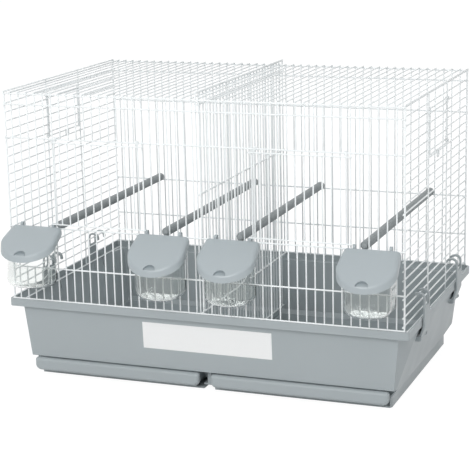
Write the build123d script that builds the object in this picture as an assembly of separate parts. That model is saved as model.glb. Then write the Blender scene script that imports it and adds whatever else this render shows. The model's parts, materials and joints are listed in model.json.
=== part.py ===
from build123d import *
import os

# Breeding bird cage: a white wire cage of two compartments on a grey plastic tray.
# Millimetres. The origin is the middle of the tray's underside, and the front faces -Y.

# Wire sizes
bar_radius = 1.0
rail_radius = 1.1
rod_radius = 1.3
handle_radius = 1.7

# Wire cage: plan between wire centres, heights above the lowest front wire
cage_width = 570.0
cage_depth = 351.6
bar_pitch = 12.25
divider_gap = 10.0
feeder_sill_height = 47.0
feeder_wire_height = 105.0
door_wire_height = 231.0
cage_height = 292.0
upper_wire_drop = 15.0
side_pitch = 12.5
side_upright_offset = 52.0

# Tray: outer outlines of the upright foot, of the waist above the drawers and under the lip
lip_top = 116.0
lip_height = 11.0
lip_side_margin = 7.0
lip_front_margin = 3.4
lip_corner_radius = 5.0
ledge_thickness = 2.2
rim_wall = 2.4
tub_wall = 2.4
top_side_inset = 3.5
top_front_inset = 10.4
waist_side_inset = 22.0
waist_front_inset = 14.9
foot_side_inset = 31.0
foot_front_inset = 29.2
top_corner_cut = (13.1, 54.0)
low_corner_cut = (2.0, 4.0)
ankle_height = 14.0
waist_height = 29.0
floor_thickness = 2.5
soffit_overlap = 0.6

# Drawers in the foot of the tray
sill_height = 8.4
rib_width = 5.0
runner_width = 7.0
notch_width = 16.0
notch_depth = 25.0
notch_height = 6.0
sill_end_width = 11.0
drawer_gap = 1.0
drawer_lift = 0.3
drawer_wall = 2.0
drawer_top_gap = 1.6
drawer_back_gap = 4.0
drawer_front_reach = 20.0
drawer_front_thickness = 6.5
drawer_front_inner_gap = 5.0
drawer_front_outer_reach = 4.4
drawer_front_corner = 8.5
drawer_front_top_corner = 4.0
drawer_front_round = 4.5
drawer_neck_inset = 12.0
drawer_neck_depth = 22.0

# Label on the tray's front
label_width = 190.0
label_height = 38.0
label_thickness = 0.5
label_offset = 4.0
label_middle = 76.0

# Divider grille, which lifts out through the top
divider_bottom = -81.0
divider_middle = 164.0
divider_upper_drop = 16.0
divider_handle_rise = 9.0
divider_end_gap = 1.2
divider_rest_gap = 0.2

# Front doors: hung from the door wire, outside the panel
door_first_index = 6
door_end_count = 6
door_top_drop = 4.5
door_bottom_height = 112.0
door_side_gap = 4.6
door_rail_overlap = 4.2
door_clearance = 0.3
eye_clearance = 0.08
eye_wall = 2.2
eye_length = 6.0

# Nest doors: hung on the side panels' uprights
nest_top_count = 7
nest_wire_count = 5
nest_overlap = 2.5
nest_upright_inset = 4.5
loop_offset = 17.0
loop_width = 9.0
loop_drop = 10.0

# Feeders: hooded cups outside the front panel
feeder_inner_index = 3
feeder_end_count = 4
feeder_cut_count = 4
hood_width = 81.6
hood_rear_width = 77.0
hood_side = 24.0
hood_depth = 52.0
hood_gap = 2.0
hood_top_rise = 2.5
hood_rear_slope = 0.445
hood_top_fall = 37.5
hood_rim_height = 61.0
hood_rim_rise = 36.0
hood_wall = 2.0
hood_round = 5.0
hook_width = 3.4
hook_wall = 2.2
hook_rise = 3.8
hook_pitch_count = 2
cup_width = 64.0
cup_side = 21.0
cup_depth = 45.0
cup_wall = 1.6
cup_floor_height = 24.0
cup_overlap = 4.5
cup_round = 12.0
cup_flange = 2.4
cup_clearance = 0.3
left_outer_shift = 3.0
left_inner_shift = -1.8
right_inner_shift = 3.0
right_outer_shift = -0.5
left_outer_swing = 8.0

# Perches: resting on the feeder wires, their ends between two bars
perch_radius = 6.0
perch_end_radius = 4.0
perch_clearance = 0.3
perch_end_reach = 0.3
left_perch_end_count = 7
left_perch_index = 3
right_perch_index = 4
right_perch_end_count = 5

# Clips: levers on the tray's side walls, hooked over a side wire
clip_offset = 95.0
clip_width = 28.0
clip_thickness = 2.8
clip_clearance = 0.6
clip_standoff = 2.5
clip_pivot_drop = 30.0
clip_window = 16.0
clip_window_drop = 11.0
clip_wire_index = 3
clip_hook_reach = 2.0
clip_barrel_radius = 2.4
clip_round = 6.0
pin_radius = 1.6
pin_clearance = 0.06
ear_thickness = 2.6
ear_gap = 0.4
ear_radius = 3.2
ear_root = 1.4
slot_width = 2.8
slot_gap = 1.2
slot_top_drop = 3.0

# Places worked out from the sizes above
wire_zero = lip_top + rail_radius
half_width = cage_width / 2
front_bar_y = cage_depth / 2
rail_y = front_bar_y + bar_radius + rail_radius
rod_y = rail_y - rail_radius - rod_radius
bars_per_half = int((cage_width - divider_gap) / 2 / bar_pitch) + 1
lip_half_x = half_width + lip_side_margin
lip_half_y = cage_depth / 2 + lip_front_margin
lip_bottom = lip_top - lip_height
ledge_top = lip_bottom + ledge_thickness
side_x = half_width - rod_radius - bar_radius
upright_x = side_x + 2 * bar_radius
side_bottom = ledge_top + bar_radius
side_wires = int((wire_zero + cage_height - side_bottom) / side_pitch) + 1
upper_wire_height = cage_height - upper_wire_drop
top_bar_z = wire_zero + cage_height + rail_radius + bar_radius
top_rod_z = wire_zero + cage_height + rail_radius + rod_radius
divider_handle = cage_height + divider_handle_rise
divider_upper = divider_handle - divider_upper_drop
hook_z = wire_zero + feeder_wire_height
door_z = wire_zero + door_wire_height
door_last_index = bars_per_half - door_end_count
feeder_outer_index = bars_per_half - feeder_end_count


def bar_x(index):
    """Distance of a front bar from the middle of the cage, counted outwards."""
    return divider_gap / 2 + index * bar_pitch


def wire(start, end, radius):
    """A round wire between two points."""
    run = Vector(*end) - Vector(*start)
    return Solid.make_cylinder(radius, run.length, Plane(origin=start, z_dir=run))


def block(low, high):
    """A box between two corners."""
    size = Vector(*high) - Vector(*low)
    return Solid.make_box(size.X, size.Y, size.Z, Plane(origin=low))


def save(name, *solids):
    """Write one node, of one or more separate solids."""
    shape = solids[0] if len(solids) == 1 else Compound(list(solids))
    export_step(shape, f"parts/{name}.step")


# Tray

def tray_outline(half_x, half_y, cut, height):
    """A rectangle with cut corners at one height."""
    cut_x, cut_y = cut
    corner = [(half_x - cut_x, half_y), (half_x, half_y - cut_y)]
    points = list(corner)
    points += [(x, -y) for x, y in reversed(corner)]
    points += [(-x, -y) for x, y in corner]
    points += [(-x, y) for x, y in reversed(corner)]
    return Plane.XY.offset(height) * make_face(Polyline(*points, close=True))


def tray_body(inset, bottom):
    """The tapering tub, drawn in by a wall thickness."""
    sections = [
        tray_outline(lip_half_x - foot_side_inset - inset, lip_half_y - foot_front_inset - inset,
                     low_corner_cut, bottom),
        tray_outline(lip_half_x - foot_side_inset - inset, lip_half_y - foot_front_inset - inset,
                     low_corner_cut, ankle_height),
        tray_outline(lip_half_x - waist_side_inset - inset, lip_half_y - waist_front_inset - inset,
                     low_corner_cut, waist_height),
        tray_outline(lip_half_x - top_side_inset - inset, lip_half_y - top_front_inset - inset,
                     top_corner_cut, lip_bottom),
    ]
    return loft(sections, ruled=True)


def rounded_slab(half_x, half_y, radius, bottom, top):
    """A flat slab with rounded corners."""
    outline = RectangleRounded(2 * half_x, 2 * half_y, radius)
    return extrude(Plane.XY.offset(bottom) * outline, top - bottom)


def wall_x(height):
    """Outer face of the tray's side wall at a height between waist and lip."""
    low = lip_half_x - waist_side_inset
    high = lip_half_x - top_side_inset
    return low + (high - low) * (height - waist_height) / (lip_bottom - waist_height)


def clip_pivot():
    """Across and up to the axis of a right-hand clip."""
    height = wire_zero - clip_pivot_drop
    return (wall_x(height) + clip_standoff + clip_thickness / 2, height)


def clip_ears(place_y):
    """The two ears that carry one right-hand clip's pin."""
    pivot_x, pivot_z = clip_pivot()
    middle = clip_width / 2 + ear_gap + ear_thickness / 2
    ears = []
    for side in (-1, 1):
        y = place_y + side * middle
        low_y = y - ear_thickness / 2
        high_y = y + ear_thickness / 2
        root_x = wall_x(pivot_z - ear_radius) - ear_root
        ear = block((root_x, low_y, pivot_z - ear_radius), (pivot_x, high_y, pivot_z + ear_radius))
        ear += wire((pivot_x, low_y, pivot_z), (pivot_x, high_y, pivot_z), ear_radius)
        ears.append(ear)
    return ears


opening_half = lip_half_x - foot_side_inset - tub_wall
foot_front = lip_half_y - foot_front_inset
waist_front = lip_half_y - waist_front_inset
soffit_half = lip_half_x - waist_side_inset - tub_wall + soffit_overlap
soffit_front = waist_front - tub_wall + soffit_overlap
rib_top = wire_zero + divider_bottom - rail_radius - divider_rest_gap

tub = tray_body(0, 0)
tub += rounded_slab(lip_half_x, lip_half_y, lip_corner_radius, lip_bottom, lip_top)
tub -= tray_body(tub_wall, floor_thickness)
ledge_hole = tray_outline(lip_half_x - top_side_inset - tub_wall, lip_half_y - top_front_inset - tub_wall,
                          top_corner_cut, lip_bottom)
tub -= extrude(ledge_hole, lip_height)
tub -= rounded_slab(lip_half_x - rim_wall, lip_half_y - rim_wall, lip_corner_radius - rim_wall,
                    ledge_top, lip_top)

# Drawer bay: open at the front, with runners and a rib, and a sill notched at its ends
tub -= block((-lip_half_x, -lip_half_y, 0), (lip_half_x, -foot_front, waist_height))
tub -= block((-opening_half, -lip_half_y, sill_height),
             (opening_half, -foot_front + runner_width, waist_height))
tub += block((-soffit_half, -soffit_front, waist_height),
             (soffit_half, -foot_front, waist_height + floor_thickness))
for side in (-1, 1):
    for near, far in ((0, rib_width / 2 + runner_width), (opening_half - runner_width, opening_half)):
        low_x, high_x = sorted((side * near, side * far))
        tub += block((low_x, -foot_front + tub_wall, 0), (high_x, foot_front - tub_wall, sill_height))
tub -= block((-notch_width / 2, -foot_front, 0), (notch_width / 2, -foot_front + notch_depth, notch_height))
for side in (-1, 1):
    for end in (notch_width / 2, opening_half - sill_end_width):
        low_x, high_x = sorted((side * end, side * (end + sill_end_width)))
        tub -= block((low_x, -foot_front, floor_thickness), (high_x, -foot_front + notch_depth, sill_height))
tub += block((-rib_width / 2, -foot_front, notch_height), (rib_width / 2, foot_front, rib_top))

# Ears and slots for the clips; one side upright passes between the left front clip's prongs
clip_places = (("right_front", 1, -clip_offset), ("right_back", 1, clip_offset),
               ("left_front", -1, -side_upright_offset), ("left_back", -1, clip_offset))
pivot_x, pivot_z = clip_pivot()
slot_low = pivot_z + ear_radius + slot_gap
for name, side, place_y in clip_places:
    for ear in clip_ears(place_y):
        tub += ear if side > 0 else ear.mirror(Plane.YZ)
    wall = side * lip_half_x
    for slot_side in (-1, 1):
        slot_y = place_y + slot_side * (clip_width + slot_width + 2 * ear_gap) / 2
        tub -= block((wall - waist_side_inset, slot_y - slot_width / 2, slot_low),
                     (wall + waist_side_inset, slot_y + slot_width / 2, lip_top - slot_top_drop))
for x in (-pivot_x, pivot_x):
    tub -= wire((x, -cage_depth / 2, pivot_z), (x, cage_depth / 2, pivot_z), pin_radius + pin_clearance)


def drawer():
    """The right-hand litter drawer: a shallow tray with a rounded front standing on a neck."""
    low_x = rib_width / 2 + drawer_gap
    high_x = opening_half - drawer_gap
    bottom = sill_height + drawer_lift
    top = waist_height - drawer_top_gap
    front_y = -foot_front + drawer_neck_depth
    back_y = foot_front - tub_wall - drawer_back_gap
    body = block((low_x, front_y, bottom), (high_x, back_y, top))
    body -= block((low_x + drawer_wall, front_y + drawer_wall, bottom + drawer_wall),
                  (high_x - drawer_wall, back_y - drawer_wall, top))
    panel_y = -foot_front - drawer_front_reach + drawer_front_thickness
    body += block((low_x + drawer_neck_inset, panel_y, bottom),
                  (high_x - drawer_neck_inset, front_y + drawer_wall, top))
    body -= block((low_x + drawer_neck_inset + drawer_wall, panel_y, bottom + drawer_wall),
                  (high_x - drawer_neck_inset - drawer_wall, front_y, top))
    panel_low = low_x + drawer_front_inner_gap
    panel_high = high_x + drawer_front_outer_reach
    outline = Rectangle(panel_high - panel_low, top - bottom)
    outline = fillet(outline.vertices().group_by(Axis.Y)[0], drawer_front_corner)
    outline = fillet(outline.vertices().group_by(Axis.Y)[-1], drawer_front_top_corner)
    place = Plane(origin=((panel_low + panel_high) / 2, panel_y, (bottom + top) / 2),
                  x_dir=(1, 0, 0), z_dir=(0, -1, 0))
    panel = extrude(place * outline, drawer_front_thickness)
    return body + fillet(panel.faces().sort_by(Axis.Y)[0].edges(), drawer_front_round)


def label():
    """A blank label lying on the tray's sloping front."""
    rise = lip_bottom - waist_height
    lean = waist_front_inset - top_front_inset
    face_y = -waist_front - lean * (label_middle - waist_height) / rise
    upward = Vector(0, -lean, rise)
    plane = Plane(origin=(label_offset, face_y, label_middle), x_dir=(1, 0, 0),
                  z_dir=Vector(1, 0, 0).cross(upward))
    return extrude(plane * Rectangle(label_width, label_height), label_thickness)


# Wire panels

def front_bar_spans(index):
    """The stretches of one front bar that the door and feeder openings leave."""
    cuts = []
    for first in (feeder_inner_index - 1, feeder_outer_index - 1):
        if first <= index < first + feeder_cut_count:
            cuts.append((feeder_sill_height, feeder_wire_height))
    if door_first_index < index < door_last_index:
        cuts.append((feeder_wire_height, door_wire_height))
    spans = []
    start = -rail_radius
    for low, high in cuts:
        spans.append((start, low + rail_radius))
        start = high - rail_radius
    spans.append((start, cage_height + rail_radius))
    return spans


def panel_rails(y):
    """The level wires of the front or back panel."""
    reach = half_width + rod_radius
    heights = (0, feeder_sill_height, feeder_wire_height, door_wire_height, upper_wire_height, cage_height)
    return [wire((-reach, y, wire_zero + h), (reach, y, wire_zero + h), rail_radius) for h in heights]


def front_grille():
    """Front panel, open at the doors and behind the feeders."""
    wires = panel_rails(-rail_y)
    for index in range(bars_per_half):
        for x in (-bar_x(index), bar_x(index)):
            for low, high in front_bar_spans(index):
                start = (x, -front_bar_y, wire_zero + low)
                end = (x, -front_bar_y, wire_zero + high)
                wires.append(wire(start, end, bar_radius))
    return wires


def back_grille():
    """Back panel, closed all over."""
    wires = panel_rails(rail_y)
    low = wire_zero - rail_radius
    high = wire_zero + cage_height + rail_radius
    for index in range(bars_per_half):
        for x in (-bar_x(index), bar_x(index)):
            wires.append(wire((x, front_bar_y, low), (x, front_bar_y, high), bar_radius))
    return wires


def top_grille():
    """Top bars from front to back, with a rod along each side."""
    wires = []
    reach = rail_y + rail_radius
    for index in range(bars_per_half):
        for x in (-bar_x(index), bar_x(index)):
            wires.append(wire((x, -reach, top_bar_z), (x, reach, top_bar_z), bar_radius))
    for x in (-half_width, half_width):
        wires.append(wire((x, -reach, top_rod_z), (x, reach, top_rod_z), rod_radius))
    return wires


def corner_rods():
    """The four uprights at the corners."""
    low = wire_zero - rail_radius
    high = wire_zero + cage_height + rail_radius
    return [wire((x, y, low), (x, y, high), rod_radius)
            for x in (-half_width, half_width) for y in (-rod_y, rod_y)]


def side_wire_z(index):
    """Height of a side wire, counted up from the tray."""
    return side_bottom + index * side_pitch


nest_low = side_wires - 1 - nest_top_count
nest_high = nest_low + nest_wire_count + 1


def side_grille():
    """Right-hand side panel, open at the nest door."""
    wires = []
    end_y = rail_y - rail_radius - perch_clearance
    inner_y = side_upright_offset - bar_radius
    for index in range(side_wires):
        z = side_wire_z(index)
        if nest_low < index < nest_high:
            wires.append(wire((side_x, -end_y, z), (side_x, -inner_y, z), bar_radius))
            wires.append(wire((side_x, inner_y, z), (side_x, end_y, z), bar_radius))
        else:
            wires.append(wire((side_x, -end_y, z), (side_x, end_y, z), bar_radius))
    for y in (-side_upright_offset, side_upright_offset):
        wires.append(wire((upright_x, y, side_bottom), (upright_x, y, top_rod_z - rod_radius), bar_radius))
    return wires


def divider():
    """The lift-out grille between the two compartments."""
    cross_x = bar_radius + rail_radius
    end_y = rail_y - rail_radius - divider_end_gap - rail_radius
    bars = int((lip_half_y - waist_front_inset - tub_wall) / bar_pitch)
    low = wire_zero + divider_bottom - rail_radius
    high = wire_zero + divider_handle - handle_radius
    low_end = wire_zero - rail_radius
    inner_y = bars * bar_pitch + bar_radius
    wires = [wire((0, y, low_end), (0, y, high), bar_radius) for y in (-end_y, end_y)]
    for index in range(-bars, bars + 1):
        y = index * bar_pitch
        wires.append(wire((0, y, low), (0, y, high), bar_radius))
    cross_wires = ((divider_bottom, inner_y), (0, end_y), (divider_middle, end_y), (divider_upper, end_y))
    for height, reach in cross_wires:
        z = wire_zero + height
        wires.append(wire((cross_x, -reach, z), (cross_x, reach, z), rail_radius))
    z = wire_zero + divider_handle
    wires.append(wire((0, -end_y - bar_radius, z), (0, end_y + bar_radius, z), handle_radius))
    return wires


# Doors

def front_door():
    """The right-hand front door, hung by two eyes on the door wire."""
    door_y = -rail_y - rail_radius - door_clearance - bar_radius
    rail_out_y = door_y - 2 * bar_radius
    top_z = door_z - door_top_drop
    bottom_z = wire_zero + door_bottom_height
    low_x = bar_x(door_first_index)
    high_x = bar_x(door_last_index)
    bore = rail_radius + eye_clearance
    wires = []
    for x in (low_x + door_side_gap, high_x - door_side_gap):
        upright = wire((x, door_y, bottom_z - bar_radius), (x, door_y, door_z), bar_radius)
        start = (x - eye_length / 2, -rail_y, door_z)
        end = (x + eye_length / 2, -rail_y, door_z)
        wires.append(upright + wire(start, end, bore + eye_wall) - wire(start, end, bore))
    for index in range(door_first_index + 1, door_last_index):
        x = bar_x(index)
        wires.append(wire((x, door_y, bottom_z - bar_radius), (x, door_y, top_z + bar_radius), bar_radius))
    for z in (bottom_z, top_z):
        start = (low_x - door_rail_overlap, rail_out_y, z)
        end = (high_x + door_rail_overlap, rail_out_y, z)
        wires.append(wire(start, end, bar_radius))
    return wires


def nest_door():
    """The right-hand nest door, hung by two eyes on the rear upright."""
    door_x = upright_x + bar_radius + door_clearance + bar_radius
    frame_x = door_x - 2 * bar_radius
    free_y = -side_upright_offset - nest_overlap
    hinge_y = side_upright_offset
    near_y = hinge_y - nest_upright_inset
    far_y = -near_y
    bottom_z = side_wire_z(nest_low) + side_pitch / 2
    top_z = side_wire_z(nest_high) - side_pitch / 2
    bore = bar_radius + eye_clearance
    wires = []
    for z in (bottom_z, top_z):
        start = (upright_x, hinge_y, z - eye_length / 2)
        end = (upright_x, hinge_y, z + eye_length / 2)
        rail = wire((door_x, free_y, z), (door_x, hinge_y, z), bar_radius)
        wires.append(rail + wire(start, end, bore + eye_wall) - wire(start, end, bore))
    for index in range(nest_low + 1, nest_high):
        z = side_wire_z(index)
        wires.append(wire((door_x, free_y, z), (door_x, near_y + bar_radius, z), bar_radius))
    for y in (near_y, far_y):
        wires.append(wire((frame_x, y, bottom_z - bar_radius), (frame_x, y, top_z + bar_radius), bar_radius))
    loop_x = door_x + 2 * bar_radius
    loop_bottom = bottom_z - loop_drop
    legs = [-loop_offset - loop_width / 2, -loop_offset + loop_width / 2]
    for y in legs:
        wires.append(wire((loop_x, y, loop_bottom), (loop_x, y, bottom_z + bar_radius), bar_radius))
    wires.append(wire((loop_x, legs[0] + bar_radius, loop_bottom + bar_radius),
                      (loop_x, legs[1] - bar_radius, loop_bottom + bar_radius), bar_radius))
    return wires


# Feeders

hood_rear = -rail_y - rail_radius - hood_gap
hood_top = hook_z + hood_top_rise
rim_front = wire_zero + hood_rim_height
rim_rear = rim_front + hood_rim_rise
upright_share = 0.99
crown_share = 1.25


def bow_plan(half, rear_half, side, depth, rear, bottom, top):
    """A slab with a straight back, nearly straight sides and a half-oval front."""
    shoulder = rear - side
    outline = Polyline((half, shoulder), (rear_half, rear), (-rear_half, rear), (-half, shoulder))
    outline += EllipticalCenterArc((0, shoulder), half, depth - side, 180, arc_size=180)
    return extrude(Plane.XY.offset(bottom) * make_face(outline), top - bottom)


def below_slope(rear_z, drop):
    """Everything below a plane that falls by a drop over the hood's depth."""
    reach = 2 * hood_depth
    fall = drop * reach / hood_depth
    points = [(hood_rear + reach, rear_z + fall), (hood_rear - reach, rear_z - fall),
              (hood_rear - reach, -fall), (hood_rear + reach, -fall)]
    side = Plane(origin=(-hood_width, 0, 0), x_dir=(0, 1, 0), z_dir=(1, 0, 0))
    return extrude(side * make_face(Polyline(*points, close=True)), 2 * hood_width)


def below_crown(drop):
    """Everything below the hood's top, a parabola from back to front, lowered by a drop."""
    rear_z = hood_top - drop
    reach = crown_share * hood_depth
    steepening = (hood_top_fall / hood_depth - hood_rear_slope) / hood_depth
    front_z = rear_z - hood_rear_slope * reach - steepening * reach ** 2
    start = (hood_rear, rear_z)
    end = (hood_rear - reach, front_z)
    profile = Bezier(start, (hood_rear - reach / 2, rear_z - hood_rear_slope * reach / 2), end)
    profile += Polyline(end, (hood_rear - reach, 0), (hood_rear, 0), start)
    side = Plane(origin=(-hood_width, 0, 0), x_dir=(0, 1, 0), z_dir=(1, 0, 0))
    return extrude(side * make_face(profile), 2 * hood_width)


def level_rim(shape, above):
    """The edges round the sloping top, apart from the rear one."""
    high = [e for e in shape.edges() if e.center().Z > above and e.center().Y < hood_rear - hood_wall]
    return [e for e in high if abs(e.tangent_at(0.5).Z) < upright_share]


def hood_hook(x):
    """A hook that rises from the hood's back and goes over the feeder wire."""
    low_x = x - hook_width / 2
    high_x = x + hook_width / 2
    bore = rail_radius + eye_clearance
    outer = bore + hook_wall
    crown_z = hook_z + hook_rise
    hook = wire((low_x, -rail_y, crown_z), (high_x, -rail_y, crown_z), outer)
    hook += block((low_x, -rail_y - outer, hook_z), (high_x, -rail_y + outer, crown_z))
    hook += wire((low_x, -rail_y, hook_z), (high_x, -rail_y, hook_z), outer)
    hook += block((low_x, hood_rear - hood_wall, hook_z - outer), (high_x, -rail_y, crown_z - outer))
    hook -= block((low_x, -rail_y - bore, hook_z - 2 * outer), (high_x, -rail_y + outer, hook_z))
    return hook - wire((low_x, -rail_y, hook_z), (high_x, -rail_y, hook_z), bore)


def feeder_hood():
    """Hood over one feeder, open below and behind, with two hooks over the feeder wire."""
    half = hood_width / 2
    rear_half = hood_rear_width / 2
    hood = bow_plan(half, rear_half, hood_side, hood_depth, hood_rear, rim_front, hood_top)
    hood &= below_crown(0)
    hood = fillet(level_rim(hood, rim_front + hood_wall), hood_round)
    slope_length = (hood_top_fall ** 2 + hood_depth ** 2) ** 0.5
    inner = bow_plan(half - hood_wall, rear_half - hood_wall, hood_side, hood_depth - hood_wall, hood_rear,
                     rim_front - hood_wall, hood_top)
    inner &= below_crown(hood_wall * slope_length / hood_depth)
    inner = fillet(level_rim(inner, rim_front), hood_round - hood_wall)
    hood -= inner
    hood -= below_slope(rim_rear, hood_rim_rise)
    for x in (-hook_pitch_count * bar_pitch, hook_pitch_count * bar_pitch):
        hood += hood_hook(x)
    return hood


def feeder_cup():
    """Clear cup whose slanting edge stands inside the hood's rim on a flange, with a low back."""
    half = cup_width / 2
    rear = hood_rear - cup_clearance
    bottom = wire_zero + cup_floor_height
    edge = rim_rear + cup_overlap
    cup = bow_plan(half, half, cup_side, cup_depth, rear, bottom, hood_top)
    cup = fillet(cup.faces().sort_by(Axis.Z)[0].edges().sort_by(Axis.Y)[:-1], cup_round)
    inner = bow_plan(half - cup_wall, half - cup_wall, cup_side - cup_wall, cup_depth - 2 * cup_wall,
                     rear - cup_wall, bottom + cup_wall, hood_top)
    inner = fillet(inner.faces().sort_by(Axis.Z)[0].edges().sort_by(Axis.Y)[:-1], cup_round - cup_wall)
    grip = hood_wall + cup_clearance
    flange = bow_plan(hood_width / 2 - grip, hood_rear_width / 2 - grip, hood_side - cup_clearance,
                      hood_depth - grip - cup_clearance, rear, bottom, hood_top)
    flange -= below_slope(edge - cup_flange, hood_rim_rise)
    cup = (cup + flange) & below_slope(edge, hood_rim_rise)
    cup -= inner
    return cup - block((cup_wall - half, rear - 2 * cup_wall, wire_zero + feeder_sill_height),
                       (half - cup_wall, rear + cup_wall, hood_top))


# Perches and clips

def perch(x):
    """A round perch whose stepped ends lie on the feeder wires."""
    z = hook_z + rail_radius + perch_end_radius
    body_y = front_bar_y - bar_radius - perch_clearance
    end_y = rail_y + perch_end_reach
    bar = wire((x, -body_y, z), (x, body_y, z), perch_radius)
    return bar + wire((x, -end_y, z), (x, end_y, z), perch_end_radius)


def clip(place_y):
    """A right-hand clip: pin, lever round the lip and hook in one moulding."""
    half = clip_width / 2
    hook_low = side_wire_z(clip_wire_index) + bar_radius + door_clearance
    inner_x = lip_half_x + clip_clearance
    outer_x = inner_x + clip_thickness
    tip_x = side_x - bar_radius - clip_hook_reach
    kink_z = lip_bottom - clip_clearance
    profile = Polyline((pivot_x - clip_thickness / 2, pivot_z), (pivot_x + clip_thickness / 2, pivot_z),
                       (outer_x, kink_z), (outer_x, hook_low + clip_thickness),
                       (tip_x, hook_low + clip_thickness), (tip_x, hook_low),
                       (inner_x, hook_low), (inner_x, kink_z), close=True)
    front = Plane(origin=(0, place_y + half, 0), x_dir=(1, 0, 0), z_dir=(0, -1, 0))
    lever = extrude(front * make_face(profile), clip_width)
    bend = lever.edges().filter_by(Axis.Y).sort_by_distance((outer_x, place_y, hook_low + clip_thickness))[0]
    lever = fillet([bend], clip_round)
    bend = lever.edges().filter_by(Axis.Y).sort_by_distance((inner_x, place_y, hook_low))[0]
    lever = fillet([bend], clip_round - clip_thickness)
    lever += wire((pivot_x, place_y - half, pivot_z), (pivot_x, place_y + half, pivot_z), clip_barrel_radius)
    window_low = (tip_x - clip_thickness, place_y - clip_window / 2, hook_low - clip_window_drop)
    window_high = (outer_x + clip_thickness, place_y + clip_window / 2, hook_low + 2 * clip_thickness)
    lever -= block(window_low, window_high)
    pin_y = half + ear_gap + ear_thickness
    return lever + wire((pivot_x, place_y - pin_y, pivot_z), (pivot_x, place_y + pin_y, pivot_z), pin_radius)


def turned(solids):
    """The same pieces on the opposite side, turned half round."""
    return [solid.rotate(Axis.Z, 180) for solid in solids]


def mirrored(solids):
    """The same pieces on the opposite side, as a mirror image."""
    return [solid.mirror(Plane.YZ) for solid in solids]


os.makedirs("parts", exist_ok=True)
save("tray_tub", tub)
save("right_drawer", drawer())
save("left_drawer", *mirrored([drawer()]))
save("label_plate", label())
save("front_grille", *front_grille())
save("back_grille", *back_grille())
save("top_grille", *top_grille())
save("corner_rods", *corner_rods())
save("right_side_grille", *side_grille())
save("left_side_grille", *turned(side_grille()))
save("divider", *divider())
save("right_front_door", *front_door())
save("left_front_door", *mirrored(front_door()))
save("right_nest_door", *nest_door())
save("left_nest_door", *turned(nest_door()))

hood = feeder_hood()
cup = feeder_cup()
hook_axis = Axis((0, -rail_y, hook_z), (-1, 0, 0))
feeders = (("left_outer", -1, feeder_outer_index, left_outer_shift, left_outer_swing),
           ("left_inner", -1, feeder_inner_index, left_inner_shift, 0),
           ("right_inner", 1, feeder_inner_index, right_inner_shift, 0),
           ("right_outer", 1, feeder_outer_index, right_outer_shift, 0))
for name, sign, bar, shift, swing in feeders:
    place = Location((sign * (bar_x(bar) + bar_pitch / 2) + shift, 0, 0))
    save(f"{name}_feeder_hood", place * hood.rotate(hook_axis, swing))
    save(f"{name}_feeder_cup", place * cup.rotate(hook_axis, swing))

for name, sign, bar in (("left_outer_perch", -1, bars_per_half - left_perch_end_count),
                        ("left_inner_perch", -1, left_perch_index),
                        ("right_inner_perch", 1, right_perch_index),
                        ("right_outer_perch", 1, bars_per_half - right_perch_end_count)):
    save(name, perch(sign * (bar_x(bar) + bar_pitch / 2)))

for name, side, place_y in clip_places:
    piece = [clip(place_y)]
    save(f"{name}_clip", *(piece if side > 0 else mirrored(piece)))
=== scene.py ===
"""Breeding bird cage: coated wires, a moulded tray, hooded feeders, perches and clips on a white floor."""
import json
import math
from collections import namedtuple

import bmesh
import bpy
from mathutils import Matrix, Vector


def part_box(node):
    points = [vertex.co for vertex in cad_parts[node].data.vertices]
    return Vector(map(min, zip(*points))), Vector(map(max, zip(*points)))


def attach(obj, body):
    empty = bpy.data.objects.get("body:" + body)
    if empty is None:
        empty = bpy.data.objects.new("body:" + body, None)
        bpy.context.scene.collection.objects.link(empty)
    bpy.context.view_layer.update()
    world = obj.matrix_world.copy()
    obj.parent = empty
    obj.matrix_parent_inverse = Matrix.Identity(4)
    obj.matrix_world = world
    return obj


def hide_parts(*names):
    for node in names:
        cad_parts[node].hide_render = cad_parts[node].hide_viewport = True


bl_info = {
    "name": "Breeding bird cage",
    "version": (1, 0, 0),
    "blender": (4, 5, 0),
    "location": "3D View > Sidebar > Bird cage",
    "description": "Builds the looks of a wire breeding cage around its packed frame",
    "category": "Add Mesh",
}

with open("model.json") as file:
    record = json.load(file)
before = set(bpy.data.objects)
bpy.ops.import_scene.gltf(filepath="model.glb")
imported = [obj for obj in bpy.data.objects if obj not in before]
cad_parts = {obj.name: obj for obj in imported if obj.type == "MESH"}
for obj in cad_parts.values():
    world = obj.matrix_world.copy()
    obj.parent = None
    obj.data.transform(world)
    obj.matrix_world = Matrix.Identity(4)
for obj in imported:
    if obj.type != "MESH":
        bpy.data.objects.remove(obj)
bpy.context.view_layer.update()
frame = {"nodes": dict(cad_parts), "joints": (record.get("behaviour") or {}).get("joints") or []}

MM = 0.001
TURN = 2 * math.pi
RIGHT_ANGLE = math.pi / 2
AXES = range(3)
ALONG_Y = 1
ALONG_Z = 2
UP = Vector((0, 0, 1))
BOTH_WAYS = (-1, 1)

# The cage's repeated pieces
SIDES = ("left", "right")
FEEDERS = ("left_outer", "left_inner", "right_inner", "right_outer")
CLIPS = ("left_front", "left_back", "right_front", "right_back")
PANELS = ("front_grille", "back_grille", "top_grille", "corner_rods", "left_side_grille", "right_side_grille")

# What the frame's solids are told apart by
MERGE = 0.002 * MM
BENT_SIZE = 4 * MM
LOOP_STAND = 3 * MM
WELD_SLACK = 0.3 * MM
THICK_SHARE = 0.9
TIP_LENGTH = 1 * MM

# Room that a rounding needs on its faces and at its ends, in times its width, and its shortest edge
FACE_ROOM = 2.2
END_ROOM = 1.2
SHORT_EDGE = 0.5 * MM

# Fineness of round shapes
ROUNDING_STEPS = 3
ROUND_SIDES = 32
FLUTE_POINTS = 4
SLOPE_STEP = 0.1 * MM

# Angles between faces: flat under the first, and sharp edges over the others
FLAT = math.radians(0.4)
MOULDED_CREASE = math.radians(35)
WIRE_CREASE = math.radians(50)
HOOD_CREASE = math.radians(38)
CUP_CREASE = math.radians(30)

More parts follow.
